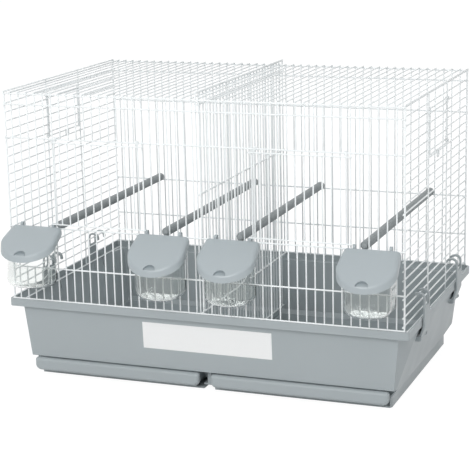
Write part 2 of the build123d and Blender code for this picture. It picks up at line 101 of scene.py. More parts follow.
# Noise: the detail of a colour's patches, the range of most values, and what flow marks add to the roughness
PATCH_DETAIL = 2.0
NOISE_RANGE = (0.3, 0.7)
FLOW_MARKS = (-0.05, 0.06)

# Studio: the floor's reach and level, and each soft light's place, width and height, all in metres
FLOOR_REACH = 8.0
FLOOR_LEVEL = -0.3 * MM
LIGHT_AIM = Vector((0, 0, 0.15))
LIGHTS = {
    "key": ((-0.2, -2.7, 1.4), 1.6, 1.0),
    "fill": ((2.2, -0.8, 1.3), 1.6, 1.6),
    "back": ((-0.9, 2.3, 1.5), 2.2, 1.6),
}

# A straight wire: its two ends, its radius and the axis that it runs along
Wire = namedtuple("Wire", "start end radius axis")


def linear(code):
    """An sRGB hex colour as linear red, green, blue and alpha."""
    parts = [int(code[at:at + 2], 16) / 255 for at in (0, 2, 4)]
    return tuple(p / 12.92 if p <= 0.04045 else ((p + 0.055) / 1.055) ** 2.4 for p in parts) + (1.0,)


def number(name, description, default, **kind):
    """A property that holds a number, plain or of the given kind."""
    return bpy.props.FloatProperty(name=name, description=description, default=default, **kind)


def length(name, description, size):
    """A property that holds a length, given here in millimetres."""
    return number(name, description, size * MM, unit="LENGTH", precision=5)


def colour(name, description, code):
    """A property that holds a colour."""
    return bpy.props.FloatVectorProperty(name=name, description=description, default=linear(code), size=4,
                                         subtype="COLOR", min=0.0, max=1.0)


class CageSizes(bpy.types.PropertyGroup):
    """Sizes of the details that the looks add to the frame."""
    wire_sides: bpy.props.IntProperty(name="Wire sides", description="Flats round a wire", default=12, min=6)
    wire_cut: number("Wire end", "Part of the radius left at a cut end", 0.6,
                     subtype="FACTOR", min=0.1, max=1.0)
    weld_radius: length("Weld bead", "Radius of the bead between two welded wires", 1.15)
    eye_turns: number("Eye turns", "Turns of a door's hinge eye", 1.3)
    eye_pitch: length("Eye pitch", "Distance between the turns of a hinge eye", 2.15)
    loop_bend: length("Loop bend", "Bend radius of a nest door's finger loop", 3)
    tray_round: length("Tray rounding", "Rounding of the tray's edges", 0.7)
    drawer_round: length("Drawer rounding", "Rounding of the drawers' edges", 0.7)
    clip_round: length("Clip rounding", "Rounding of the clips' edges", 0.45)
    perch_flutes: bpy.props.IntProperty(name="Flutes", description="Grip flutes round a perch", default=16)
    flute_depth: number("Flute depth", "Depth of a flute as a part of the radius", 0.09,
                        subtype="FACTOR", min=0.0, max=0.5)
    perch_sleeve: length("Perch sleeve", "Length of the smooth end of a perch", 10)
    sleeve_edge: length("Sleeve edge", "Chamfer at the shoulder of a perch", 1)
    tip_edge: length("Tip edge", "Chamfer at the thin tip of a perch", 0.5)


class HoodSizes(bpy.types.PropertyGroup):
    """Sizes of a feeder hood, measured from the wire that it hangs on."""
    half_width: length("Half width", "Half the hood's greatest width", 40.8)
    rear_half_width: length("Rear half width", "Half the hood's width at the rear edge", 38.5)
    rear: length("Rear edge", "From the feeder wire forward to the rear edge", 3.1)
    side: length("Side", "Length of the straight sides", 24)
    depth: length("Depth", "From the rear edge to the front", 52)
    top: length("Top", "Rear edge above the feeder wire", 2.5)
    slope: number("Slope", "Fall of the top at its rear edge", 0.445)
    top_drop: length("Top drop", "Fall of the top from rear to front", 37.5)
    rim_rear: length("Rim rear", "Lower rim under the feeder wire, at the rear", 8)
    rim_front: length("Rim front", "Lower rim under the feeder wire, at the front", 44)
    edge_round: length("Edge rounding", "Rounding between the top and the skirt", 6.5)
    wall: length("Wall", "Wall thickness", 2)
    hook_reach: length("Hook reach", "From the middle to each hook", 24.5)
    hook_width: length("Hook width", "Width of a hook", 3.4)
    hook_bore: length("Hook bore", "Inner radius of a hook", 1.25)
    hook_wall: length("Hook wall", "Thickness of a hook", 2.15)
    hook_rise: length("Hook rise", "Straight rise of a hook over the wire", 3.75)
    dimple_radius: length("Dimple radius", "Radius of the half-moon thumb dimple", 8.6)
    dimple_place: length("Dimple place", "From the rear edge to the dimple's straight side", 51)
    dimple_back: length("Dimple back", "From the straight side back to where the dimple takes its slope", 5)
    dimple_deep: length("Dimple depth", "Depth of the dimple at its arch", 4.6)
    dimple_shallow: length("Dimple front depth", "Depth of the dimple at its straight side", 1.2)
    dimple_wall: length("Dimple wall", "Wall under the dimple", 0.8)
    dimple_cut: length("Dimple cut", "Height of the dimple's cutter over the top", 4)


class CupSizes(bpy.types.PropertyGroup):
    """Sizes of a clear cup, measured from the wire that its hood hangs on."""
    half_width: length("Half width", "Half the cup's width", 32)
    rear: length("Rear face", "From the feeder wire forward to the cup's back", 3.4)
    side: length("Side", "Length of the straight sides", 21)
    depth: length("Depth", "From the back to the front", 45)
    floor_drop: length("Floor drop", "Underside below the feeder wire", 81)
    edge_drop: length("Edge drop", "Slanting edge below the feeder wire, at the back", 3.71)
    edge_slope: number("Edge slope", "Fall of the edge to the front", 0.692)
    back_drop: length("Back drop", "Top of the low back below the feeder wire", 58)
    bottom_round: length("Bottom rounding", "Rounding between walls and floor", 12)
    wall: length("Wall", "Wall thickness", 1.6)
    flange_reach: length("Flange reach", "How far the flange stands out", 4.2)
    flange: length("Flange", "Thickness of the flange", 2.4)


class ClipSizes(bpy.types.PropertyGroup):
    """Sizes of a clip, measured from its pin; out is away from the cage and in is towards it."""
    half_width: length("Half width", "Half the lever's width", 14)
    thickness: length("Thickness", "Thickness of the lever", 2.8)
    lever_out: length("Lever out", "From the pin out to the middle of the upright lever", 5.957)
    kink_rise: length("Kink rise", "From the pin up to the lever's bend", 17.3)
    shoulder: length("Shoulder", "From the pin up to the foot of the window", 44)
    prong_width: length("Prong width", "Width of each prong beside the window", 5.2)
    prong_thickness: length("Prong thickness", "Thickness of a prong", 2.6)
    prong_step: length("Prong step", "Step between the lever's edge and a prong's", 0.2)
    arch_rise: length("Arch rise", "From the pin up to the start of a hook's arch", 54)
    arch_height: length("Arch height", "Height of a hook's arch", 8)
    arch_power: number("Arch power", "Squareness of the arch, 1 is an ellipse", 0.86)
    hook_in: length("Hook in", "From the pin in to the middle of a hook's nose", 9.6)
    nose_rise: length("Nose rise", "From the pin up to the end of a hook's nose", 52.5)
    barrel_radius: length("Barrel radius", "Radius of the lever's thick foot", 2.4)
    barrel_half: length("Barrel half length", "Half the length of the thick foot", 13.8)
    pin_radius: length("Pin radius", "Radius of the pin", 1.6)
    pin_half: length("Pin half length", "Half the length of the pin", 17)


class CageColours(bpy.types.PropertyGroup):
    """Colours of the materials."""
    wire: colour("Wire", "Coated wire", "F6FAFB")
    tray: colour("Tray", "Moulded tray, drawers and clips", "A6AEB1")
    # The hoods are the tray's grey plastic painted a little lighter, as painted light on their lit tops
    hood: colour("Hood", "Feeder hoods", "AAB3B7")
    cup: colour("Cup", "Clear feeder cups", "F6F8F7")
    perch: colour("Perch", "Perches", "8E9496")
    label: colour("Label", "Blank label", "F2F3F3")
    floor: colour("Floor", "Studio floor and background", "FFFFFF")
    floor_shade: colour("Floor shade", "Part of the floor's white that shadows take away", "6E6E6E")
    floor_bounce: colour("Floor bounce", "Floor as it lights the cage", "E8E8E8")


class StageSettings(bpy.types.PropertyGroup):
    """Camera and light."""
    azimuth: number("Azimuth", "Camera to the right of the front", math.radians(21.1714), unit="ROTATION")
    elevation: number("Elevation", "Camera above the level", math.radians(13.5516), unit="ROTATION")
    roll: number("Roll", "Camera turned about its view", math.radians(-1.2831), unit="ROTATION")
    distance: length("Distance", "Camera from its target", 2260.947)
    target: bpy.props.FloatVectorProperty(name="Target", description="What the camera faces", subtype="XYZ",
                                          default=(-15.3186 * MM, 0.0, 184.47 * MM), unit="LENGTH")
    lens: number("Lens", "Focal length in millimetres", 119.02)
    horizon: number("Horizon", "Light from the studio's walls", 0.1)
    zenith: number("Zenith", "Light from straight above", 0.97)
    key_power: number("Key light", "Soft light from above the front", 34.5, subtype="POWER")
    fill_power: number("Fill light", "Soft light from the right", 5.5, subtype="POWER")
    back_power: number("Back light", "Soft light from behind", 14.0, subtype="POWER")
    floor_glow: number("Floor glow", "White of the floor that no shadow darkens", 0.93)


def joint(name):
    """One joint of the frame."""
    return next(entry for entry in frame["joints"] if entry["name"] == name)


def add_node(tree, kind, settings=None, inputs=None):
    """Adds a node to a tree, with its settings and a value or link for each input by name or number."""
    node = tree.nodes.new(kind)
    for name, value in (settings or {}).items():
        setattr(node, name, value)
    for name, value in (inputs or {}).items():
        if isinstance(value, bpy.types.NodeSocket):
            tree.links.new(value, node.inputs[name])
        else:
            node.inputs[name].default_value = value
    return node


def new_geometry_tree(name, inputs):
    """A geometry tree with the named inputs, and the sockets that give them."""
    tree = bpy.data.node_groups.new(name, "GeometryNodeTree")
    tree.interface.new_socket("Geometry", in_out="INPUT", socket_type="NodeSocketGeometry")
    for title, kind in inputs.items():
        tree.interface.new_socket(title, in_out="INPUT", socket_type="NodeSocket" + kind)
    tree.interface.new_socket("Geometry", in_out="OUTPUT", socket_type="NodeSocketGeometry")
    return tree, tree.nodes.new("NodeGroupInput").outputs


def finish_tree(tree, shape, given):
    """Ends a geometry tree with real geometry in its material."""
    real = add_node(tree, "GeometryNodeRealizeInstances", None, {"Geometry": shape})
    coated = add_node(tree, "GeometryNodeSetMaterial", None,
                      {"Geometry": real.outputs["Geometry"], "Material": given["Material"]})
    add_node(tree, "NodeGroupOutput", None, {"Geometry": coated.outputs["Geometry"]})
    return tree


def swept_tree():
    """Sweeps a round or fluted section along edge paths, each point with its own radius."""
    name = "Swept wires"
    if name in bpy.data.node_groups:
        return bpy.data.node_groups[name]
    inputs = {"Sides": "Int", "Flutes": "Int", "Flute depth": "Float", "Material": "Material"}
    tree, given = new_geometry_tree(name, inputs)
    path = add_node(tree, "GeometryNodeMeshToCurve", None, {"Mesh": given["Geometry"]})
    radius = add_node(tree, "GeometryNodeInputNamedAttribute", None, {"Name": "wire_radius"})
    circle = add_node(tree, "GeometryNodeCurvePrimitiveCircle", None,
                      {"Resolution": given["Sides"], "Radius": 1.0})
    angle = add_node(tree, "GeometryNodeInputIndex").outputs[0]
    for operation, value in (("DIVIDE", given["Sides"]), ("MULTIPLY", given["Flutes"]), ("MULTIPLY", TURN)):
        angle = add_node(tree, "ShaderNodeMath", {"operation": operation}, {0: angle, 1: value}).outputs[0]
    cosine = add_node(tree, "ShaderNodeMath", {"operation": "COSINE"}, {0: angle})
    valley = add_node(tree, "ShaderNodeMapRange", None,
                      {"Value": cosine.outputs[0], "From Min": 1.0, "From Max": -1.0, "To Min": 0.0,
                       "To Max": given["Flute depth"]})
    place = add_node(tree, "GeometryNodeInputPosition").outputs[0]
    inward = add_node(tree, "ShaderNodeVectorMath", {"operation": "SCALE"},
                      {0: place, "Scale": valley.outputs[0]})
    outline = add_node(tree, "ShaderNodeVectorMath", {"operation": "SUBTRACT"},
                       {0: place, 1: inward.outputs[0]})
    section = add_node(tree, "GeometryNodeSetPosition", None,
                       {"Geometry": circle.outputs["Curve"], "Position": outline.outputs[0]})
    rods = add_node(tree, "GeometryNodeCurveToMesh", None,
                    {"Curve": path.outputs["Curve"], "Profile Curve": section.outputs["Geometry"],
                     "Scale": radius.outputs["Attribute"], "Fill Caps": True})
    smooth = add_node(tree, "GeometryNodeSetShadeSmooth", None, {"Geometry": rods.outputs["Mesh"]})
    return finish_tree(tree, smooth.outputs["Geometry"], given)


def bead_tree():
    """Puts a small bead on every point, where two wires are welded together."""
    name = "Weld beads"
    if name in bpy.data.node_groups:
        return bpy.data.node_groups[name]
    tree, given = new_geometry_tree(name, {"Radius": "Float", "Material": "Material"})
    bead = add_node(tree, "GeometryNodeMeshIcoSphere", None, {"Radius": given["Radius"], "Subdivisions": 1})
    smooth = add_node(tree, "GeometryNodeSetShadeSmooth", None, {"Geometry": bead.outputs["Mesh"]})
    beads = add_node(tree, "GeometryNodeInstanceOnPoints", None,
                     {"Points": given["Geometry"], "Instance": smooth.outputs["Geometry"]})
    return finish_tree(tree, beads.outputs["Instances"], given)


def new_object(name, data):
    """A new object in the scene."""
    thing = bpy.data.objects.new(name, data)
    bpy.context.scene.collection.objects.link(thing)
    return thing


def settle(thing):
    """Turns an object's modifiers into its own mesh."""
    graph = bpy.context.evaluated_depsgraph_get()
    mesh = bpy.data.meshes.new_from_object(thing.evaluated_get(graph))
    rough = thing.data
    thing.modifiers.clear()
    thing.data = mesh
    mesh.name = thing.name
    bpy.data.meshes.remove(rough)
    if not mesh.polygons:
        raise RuntimeError(f"{thing.name} came out empty")


def settle_evenly(thing):
    """Settles an object with even shading on the flat faces beside its roundings."""
    weighted = thing.modifiers.new("Flat faces", "WEIGHTED_NORMAL")
    weighted.keep_sharp = True
    settle(thing)


def place_piece(thing, body, nodes=()):
    """Lets a finished piece ride its body, in place of the frame's nodes."""
    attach(thing, body)
    if nodes:
        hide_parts(*nodes)


def run_tree(thing, tree, values):
    """Runs a geometry tree on an object and keeps what it makes."""
    modifier = thing.modifiers.new(tree.name, "NODES")
    modifier.node_group = tree
    for item in tree.interface.items_tree:
        if item.in_out == "INPUT" and item.name in values:
            modifier[item.identifier] = values[item.name]
    settle(thing)


def rounded_ends(points, radius):
    """A wire's path with its cut ends drawn in, as points with a radius each."""
    cut = radius * bpy.context.scene.cage_sizes.wire_cut
    inset = radius / 2
    first = points[0] + (points[1] - points[0]).normalized() * inset
    last = points[-1] + (points[-2] - points[-1]).normalized() * inset
    body = [first, *points[1:-1], last]
    return [(points[0], cut), *((spot, radius) for spot in body), (points[-1], cut)]


def straight_paths(wires):
    """The paths of straight wires."""
    return [rounded_ends([wire.start, wire.end], wire.radius) for wire in wires]


def sweep(name, paths, material, sides, flutes=0, depth=0.0):
    """One object with a rod along each path."""
    spots = []
    radii = []
    edges = []
    for path in paths:
        first = len(spots)
        spots.extend(spot for spot, radius in path)
        radii.extend(radius for spot, radius in path)
        edges.extend((at, at + 1) for at in range(first, len(spots) - 1))
    mesh = bpy.data.meshes.new(name)
    mesh.from_pydata(spots, edges, [])
    mesh.attributes.new("wire_radius", "FLOAT", "POINT").data.foreach_set("value", radii)
    thing = new_object(name, mesh)
    run_tree(thing, swept_tree(),
             {"Sides": sides, "Flutes": flutes, "Flute depth": depth, "Material": material})
    thing.data.set_sharp_from_angle(angle=WIRE_CREASE)
    return thing


def merged_copy(node):
    """A frame node's shape to work on, with its loose triangles joined."""
    shape = bmesh.new()
    shape.from_mesh(frame["nodes"][node].data)
    bmesh.ops.remove_doubles(shape, verts=shape.verts, dist=MERGE)
    return shape


def solids_of(node):
    """The separate solids of a frame node, each as a list of its corner points."""
    shape = merged_copy(node)
    seen = set()
    solids = []
    for first in shape.verts:
        if first in seen:
            continue
        seen.add(first)
        reached = [first]
        solid = []
        while reached:
            vert = reached.pop()
            solid.append(vert.co.copy())
            fresh = {edge.other_vert(vert) for edge in vert.link_edges} - seen
            seen |= fresh
            reached.extend(fresh)
        solids.append(solid)
    shape.free()
    return solids


def wires_of(node):
    """A node's straight wires, and the lowest and highest corners of its bent ones."""
    straight = []
    bent = []
    for points in solids_of(node):
        low = Vector([min(point[axis] for point in points) for axis in AXES])
        high = Vector([max(point[axis] for point in points) for axis in AXES])
        size = high - low
        axis = max(AXES, key=lambda at: size[at])
        across = max(size[at] for at in AXES if at != axis)
        if across > BENT_SIZE:
            bent.append((low, high))
            continue
        start = (low + high) / 2
        end = start.copy()
        start[axis] = low[axis]
        end[axis] = high[axis]
        straight.append(Wire(start, end, across / 2, axis))
    return straight, bent


def build_wires(node, body, paths):
    """The wires of a node, on its body."""
    thing = sweep(node + "_wires", paths, wire_material(), bpy.context.scene.cage_sizes.wire_sides)
    place_piece(thing, body, [node])


def build_welds(name, wires, body):
    """Beads where wires that lie across each other touch."""
    spots = []
    for at, wire in enumerate(wires):
        for other in wires[:at]:
            if wire.axis == other.axis:
                continue
            third = sum(AXES) - wire.axis - other.axis
            step = other.start[third] - wire.start[third]
            if abs(abs(step) - wire.radius - other.radius) > WELD_SLACK:
                continue
            if not wire.start[wire.axis] <= other.start[wire.axis] <= wire.end[wire.axis]:
                continue
            if not other.start[other.axis] <= wire.start[other.axis] <= other.end[other.axis]:
                continue
            spot = wire.start.copy()
            spot[wire.axis] = other.start[wire.axis]
            spot[third] += step * wire.radius / (wire.radius + other.radius)
            spots.append(spot)
    mesh = bpy.data.meshes.new(name)
    mesh.from_pydata(spots, [], [])
    thing = new_object(name, mesh)
    radius = bpy.context.scene.cage_sizes.weld_radius
    run_tree(thing, bead_tree(), {"Radius": radius, "Material": wire_material()})
    place_piece(thing, body)


def arc(whole, steps):
    """Angles in even steps from nothing to the whole."""
    return [whole * step / steps for step in range(steps + 1)]


def coil(centre, arm, spin, shift, turns, steps=14):
    """A wire's turns round a hinge wire, starting at the arm's end."""
    return [centre + Matrix.Rotation(angle, 3, spin) @ arm + shift * angle / TURN
            for angle in arc(TURN * turns, math.ceil(steps * turns))]


def bend_corners(points, radius, steps=6):
    """A path of straight legs with its square corners bent round."""
    bent = [points[0]]
    for before, corner, after in zip(points, points[1:], points[2:]):
        back = (before - corner).normalized()
        ahead = (after - corner).normalized()
        bent.extend(corner + back * radius * (1 - math.sin(angle)) + ahead * radius * (1 - math.cos(angle))
                    for angle in arc(RIGHT_ANGLE, steps))
    return [*bent, points[-1]]


def reach_of(face, edge):
    """How far a face reaches away from one of its edges."""
    start = edge.verts[0].co
    along = (edge.verts[1].co - start).normalized()
    return max((vert.co - start).cross(along).length for vert in face.verts)


def rounded_edges(edges, rounding):
    """Those of the sharp edges with room for a rounding on both faces and at both ends."""
    chosen = {edge for edge in edges if edge.calc_length() > SHORT_EDGE
              and min(reach_of(face, edge) for face in edge.link_faces) > FACE_ROOM * rounding}
    crowded = chosen
    while crowded:
        crowded = {edge for edge in chosen for vert in edge.verts for other in vert.link_edges
                   if other not in chosen and other.calc_length() < END_ROOM * rounding}
        chosen -= crowded
    return chosen


def mesh_object(name, shape, material):
    """An object from a worked shape, smooth and in its material."""
    for face in shape.faces:
        face.smooth = True
    mesh = bpy.data.meshes.new(name)
    shape.to_mesh(mesh)
    shape.free()
    mesh.materials.append(material)
    return new_object(name, mesh)


def moulded(name, shape, rounding, material):
    """An object from a worked shape whose sharp edges are rounded where they have room."""
    weights = shape.edges.layers.float.new("bevel_weight_edge")
    creases = [edge for edge in shape.edges
               if len(edge.link_faces) == 2 and edge.calc_face_angle() > MOULDED_CREASE]
    for edge in creases:
        edge.smooth = False
    for edge in rounded_edges(creases, rounding) if rounding else ():
        edge.smooth = True
        edge[weights] = 1.0
    thing = mesh_object(name, shape, material)
    if rounding:
        bevel = thing.modifiers.new("Rounding", "BEVEL")
        bevel.width = rounding
        bevel.segments = ROUNDING_STEPS
        bevel.limit_method = "WEIGHT"
    settle_evenly(thing)
    return thing


def moulded_copy(name, node, rounding, material):
    """A copy of a frame node with merged faces and rounded edges."""
    shape = merged_copy(node)
    bmesh.ops.dissolve_limit(shape, angle_limit=FLAT, verts=shape.verts, edges=shape.edges)
    return moulded(name, shape, rounding, material)


def surface(name, piece, patch, drift, grain, sheen, roughness, strength, depth, **sockets):
    """A material in a piece's colour, which drifts a little between patches of the given size.

    Grain lifts the surface to a depth and sheen moves the roughness within its range. Both are noise patterns
    on the object's own coordinates, given as a size and a detail. The sockets are the shader's constants.
    """
    if name in bpy.data.materials:
        return bpy.data.materials[name]
    material = bpy.data.materials.new(name)
    material.use_nodes = True
    tree = material.node_tree
    place = add_node(tree, "ShaderNodeTexCoord").outputs["Object"]
    spots, lift, gloss = [add_node(tree, "ShaderNodeTexNoise", None,
                                   {"Vector": place, "Scale": 1 / size, "Detail": detail}).outputs["Fac"]
                          for size, detail in ((patch, PATCH_DETAIL), grain, sheen)]
    paint = getattr(bpy.context.scene.cage_colours, piece)[:3]
    dark, light = [(*(min(1.0, part * change) for part in paint), 1.0) for change in (1 - drift, 1 + drift)]
    tint = add_node(tree, "ShaderNodeMix", {"data_type": "RGBA", "clamp_result": True},
                    {0: spots, 6: dark, 7: light})
    rough = add_node(tree, "ShaderNodeMapRange", None,
                     {"Value": gloss, "From Min": NOISE_RANGE[0], "From Max": NOISE_RANGE[1],
                      "To Min": roughness[0], "To Max": roughness[1]})
    bump = add_node(tree, "ShaderNodeBump", None, {"Strength": strength, "Distance": depth, "Height": lift})
    shader = tree.nodes["Principled BSDF"]
    tree.links.new(tint.outputs[2], shader.inputs["Base Color"])
    tree.links.new(rough.outputs[0], shader.inputs["Roughness"])
    tree.links.new(bump.outputs["Normal"], shader.inputs["Normal"])
    for socket, value in sockets.items():
        shader.inputs[socket.replace("_", " ")].default_value = value
    return material


def wire_material():
    """White epoxy coat on steel wire: a soft gloss with the slight orange peel of a baked powder."""
    peel = (1.4 * MM, 2.0)
    return surface("Coated wire", "wire", patch=25 * MM, drift=0.025, grain=peel, sheen=peel,
                   roughness=(0.28, 0.42), strength=0.25, depth=0.08 * MM, IOR=1.5)


def plastic_material(piece, roughness, grain, depth, drift):
    """Injection-moulded polypropylene: one dyed colour, a spark-eroded grain and faint flow marks.

    The real grain is about 0.2 mm wide and is drawn coarser, so that it shows.
    """
    return surface(piece.capitalize() + " plastic", piece, patch=70 * MM, drift=drift, grain=(grain, 3.0),
                   sheen=(45 * MM, 2.0), roughness=[roughness + step for step in FLOW_MARKS], strength=0.35,
                   depth=depth, IOR=1.49)


def tray_material():
    """Grey satin tray plastic."""
    return plastic_material("tray", roughness=0.46, grain=0.9 * MM, depth=0.05 * MM, drift=0.03)


def hood_material():
    """Smoother hood plastic in the tray's grey, painted a little lighter as painted light on the lit hood
    tops.
    """
    return plastic_material("hood", roughness=0.34, grain=1.6 * MM, depth=0.02 * MM, drift=0.02)


def perch_material():
    """Darker grey perch plastic with a rougher grip."""
    return plastic_material("perch", roughness=0.58, grain=0.7 * MM, depth=0.08 * MM, drift=0.05)


def cup_material():
    """Clear polystyrene: glassy, with the slight waviness that moulded walls have."""
    waves = (14 * MM, 1.0)
    return surface("Clear plastic", "cup", patch=30 * MM, drift=0.01, grain=waves, sheen=waves,
                   roughness=(0.0, 0.015), strength=0.1, depth=0.02 * MM, Transmission_Weight=1.0, IOR=1.45)


def label_material():
    """Blank laminated paper: white, a little soft, with short fibres under the film, drawn coarse to show."""
    fibres = (0.6 * MM, 4.0)
    return surface("Label paper", "label", patch=3 * MM, drift=0.015, grain=fibres, sheen=fibres,
                   roughness=(0.42, 0.5), strength=0.2, depth=0.03 * MM, Coat_Weight=0.15)


class CAGE_OT_tray(bpy.types.Operator):
    """Builds the moulded tray"""
    bl_idname = "cage.tray"
    bl_label = "Tray"

    def execute(self, context):
        thing = moulded_copy("tray", "tray_tub", context.scene.cage_sizes.tray_round, tray_material())
        place_piece(thing, "cage", ["tray_tub"])
        return {"FINISHED"}


class CAGE_OT_drawers(bpy.types.Operator):
    """Builds the litter drawers"""
    bl_idname = "cage.drawers"
    bl_label = "Litter drawers"

    def execute(self, context):
        rounding = context.scene.cage_sizes.drawer_round
        for side in SIDES:
            node = side + "_drawer"
            thing = moulded_copy(node + "_moulding", node, rounding, tray_material())
            place_piece(thing, node, [node])
        return {"FINISHED"}


class CAGE_OT_label(bpy.types.Operator):
    """Builds the blank label"""
    bl_idname = "cage.label"
    bl_label = "Label"

    def execute(self, context):
        thing = moulded_copy("label", "label_plate", 0.0, label_material())
        place_piece(thing, "cage", ["label_plate"])
        return {"FINISHED"}


class CAGE_OT_panels(bpy.types.Operator):
    """Builds the fixed wire panels and their weld beads"""
    bl_idname = "cage.panels"
    bl_label = "Wire panels"

    def execute(self, context):
        wires = {node: wires_of(node)[0] for node in PANELS}
        for node in PANELS:
            build_wires(node, "cage", straight_paths(wires[node]))
        build_welds("cage_welds", [wire for node in PANELS for wire in wires[node]], "cage")
        return {"FINISHED"}


class CAGE_OT_divider(bpy.types.Operator):
    """Builds the lift-out divider"""
    bl_idname = "cage.divider"
    bl_label = "Divider"

    def execute(self, context):
        wires = wires_of("divider")[0]
        build_wires("divider", "divider", straight_paths(wires))
        build_welds("divider_welds", wires, "divider")
        return {"FINISHED"}


class CAGE_OT_front_doors(bpy.types.Operator):
    """Builds the front doors with their coiled hinge eyes"""
    bl_idname = "cage.front_doors"
    bl_label = "Front doors"

    def execute(self, context):
        sizes = context.scene.cage_sizes
        for side in SIDES:
            node = side + "_front_door"
            hinge = Vector(joint(node + "_hinge")["pos_m"])
            wires, eyes = wires_of(node)
            paths = straight_paths(wires)
            upright = next(wire for wire in wires if wire.axis == ALONG_Z)
            for low, high in eyes:
                foot = Vector(((low.x + high.x) / 2, upright.start.y, low.z))
                centre = Vector((foot.x, hinge.y, hinge.z))
                arm = Vector((0.0, foot.y - hinge.y, 0.0))
                inward = Vector((math.copysign(sizes.eye_pitch, hinge.x - foot.x), 0, 0))
                turns = coil(centre, arm, Vector((-1, 0, 0)), inward, sizes.eye_turns)
                paths.append(rounded_ends([foot, *turns], upright.radius))
            build_wires(node, node, paths)
            build_welds(node + "_welds", wires, node)
        return {"FINISHED"}


class CAGE_OT_nest_doors(bpy.types.Operator):
    """Builds the nest doors with their coiled eyes and finger loops"""
    bl_idname = "cage.nest_doors"
    bl_label = "Nest doors"

    def execute(self, context):
        sizes = context.scene.cage_sizes
        for side in SIDES:
            node = side + "_nest_door"
            hinge = Vector(joint(node + "_hinge")["pos_m"])
            wires, eyes = wires_of(node)
            loop_face = min(abs(wire.start.x) for wire in wires) + LOOP_STAND
            loop = [wire for wire in wires if abs(wire.start.x) > loop_face]
            flat = [wire for wire in wires if abs(wire.start.x) <= loop_face]
            paths = straight_paths(flat)
            plane = math.copysign(max(abs(wire.start.x) for wire in flat), hinge.x)
            arm = Vector((plane - hinge.x, 0.0, 0.0))
            middle = sum(low.z + high.z for low, high in eyes) / (2 * len(eyes))
            for low, high in eyes:
                level = (low.z + high.z) / 2
                free = max(low.y, high.y, key=lambda y: abs(y - hinge.y))
                inward = Vector((0, 0, math.copysign(sizes.eye_pitch, middle - level)))
                turns = coil(Vector((hinge.x, hinge.y, level)), arm, UP, inward, sizes.eye_turns)
                paths.append(rounded_ends([Vector((plane, free, level)), *turns], flat[0].radius))
            near, far = [wire for wire in loop if wire.axis == ALONG_Z]
            foot = next(wire for wire in loop if wire.axis == ALONG_Y)
            corners = [end.copy() for end in (near.end, near.start, far.start, far.end)]
            for corner in corners[1:3]:
                corner.z = foot.start.z
            paths.append(rounded_ends(bend_corners(corners, sizes.loop_bend), foot.radius))
            build_wires(node, node, paths)
            build_welds(node + "_welds", wires, node)
        return {"FINISHED"}


def hood_top(hood, run):
    """Height of a hood's top over its feeder wire, at a distance forward of its rear edge."""
    curve = (hood.top_drop - hood.slope * hood.depth) / hood.depth ** 2
    return hood.top - hood.slope * run - curve * run * run


def hood_slope(hood, run):
    """How steeply a hood's top rises forward, at a distance forward of its rear edge."""
    return (hood_top(hood, run + SLOPE_STEP) - hood_top(hood, run)) / SLOPE_STEP


def bow_outline(half_width, rear_half_width, side, depth, straight_steps=6, oval_steps=18):
    """Half a plan with straight sides and an oval front, from the rear: across, run forward and normal."""
    outline = []
    flare = half_width - rear_half_width
    flank = Vector((side, -flare)).normalized()
    for step in range(straight_steps):
        part = step / straight_steps
        outline.append((rear_half_width + flare * part, side * part, flank))
    oval = depth - side
    for angle in arc(RIGHT_ANGLE, oval_steps):
        normal = Vector((oval * math.cos(angle), half_width * math.sin(angle))).normalized()
        outline.append((half_width * math.cos(angle), side + oval * math.sin(angle), normal))
    return outline


def stand_up(place, rear, section):
    """Points of an upright section, given as distance out and height, at one place of a plan."""
    across, run, normal = place
    return [Vector((across + normal.x * out, -rear - run - normal.y * out, level)) for out, level in section]


def hood_section(hood, run, normal, steps=5):
    """Section of a hood's edge at one place of its plan: the rounding, then the skirt to the rim."""
    lean = math.atan(hood_slope(hood, run) * normal.y)
    radius = hood.edge_round
    back = radius * math.tan((RIGHT_ANGLE + lean) / 2)
    start = Vector((-back * math.cos(lean), hood_top(hood, run) - back * math.sin(lean)))
    centre = start + radius * Vector((math.sin(lean), -math.cos(lean)))
    section = [centre + radius * Vector((math.sin(turn - lean), math.cos(turn - lean)))
               for turn in arc(RIGHT_ANGLE + lean, steps)]
    rim = -hood.rim_rear - (hood.rim_front - hood.rim_rear) * run / hood.depth
    return [*section, Vector((0.0, (section[-1].y + rim) / 2)), Vector((0.0, rim))]


def skin(shape, rows, closed=False):
    """Adds the faces between neighbouring rows of points."""
    faces = []
    for row, after in zip(rows, rows[1:]):
        for at in range(len(row) if closed else len(row) - 1):
            turn = (at + 1) % len(row)
            faces.append(shape.faces.new((row[at], row[turn], after[turn], after[at])))
    return faces


def hood_sheet(hood, columns=16):
    """The outer face of a hood, open below and behind, hung on a feeder wire at the origin."""
    shape = bmesh.new()
    plan = bow_outline(hood.half_width, hood.rear_half_width, hood.side, hood.depth)
    sections = [stand_up(place, hood.rear, hood_section(hood, *place[1:])) for place in plan]
    right = [[shape.verts.new(point) for point in section] for section in sections]
    left = [[shape.verts.new((-point.x, point.y, point.z)) for point in section] for section in sections[:-1]]
    left.append(right[-1])
    rows = []
    for port, starboard in zip(left[:-1], right[:-1]):
        inner = [shape.verts.new(port[0].co.lerp(starboard[0].co, column / columns))
                 for column in range(1, columns)]
        rows.append([port[0], *inner, starboard[0]])
    skin(shape, rows)
    for one, other in zip(rows[-1], rows[-1][1:]):
        shape.faces.new((one, other, right[-1][0]))
    skin(shape, left)
    skin(shape, right)
    bmesh.ops.recalc_face_normals(shape, faces=shape.faces)
    shape.faces.ensure_lookup_table()
    shape.normal_update()
    if shape.faces[0].normal.z < 0:
        bmesh.ops.reverse_faces(shape, faces=shape.faces)
    return shape


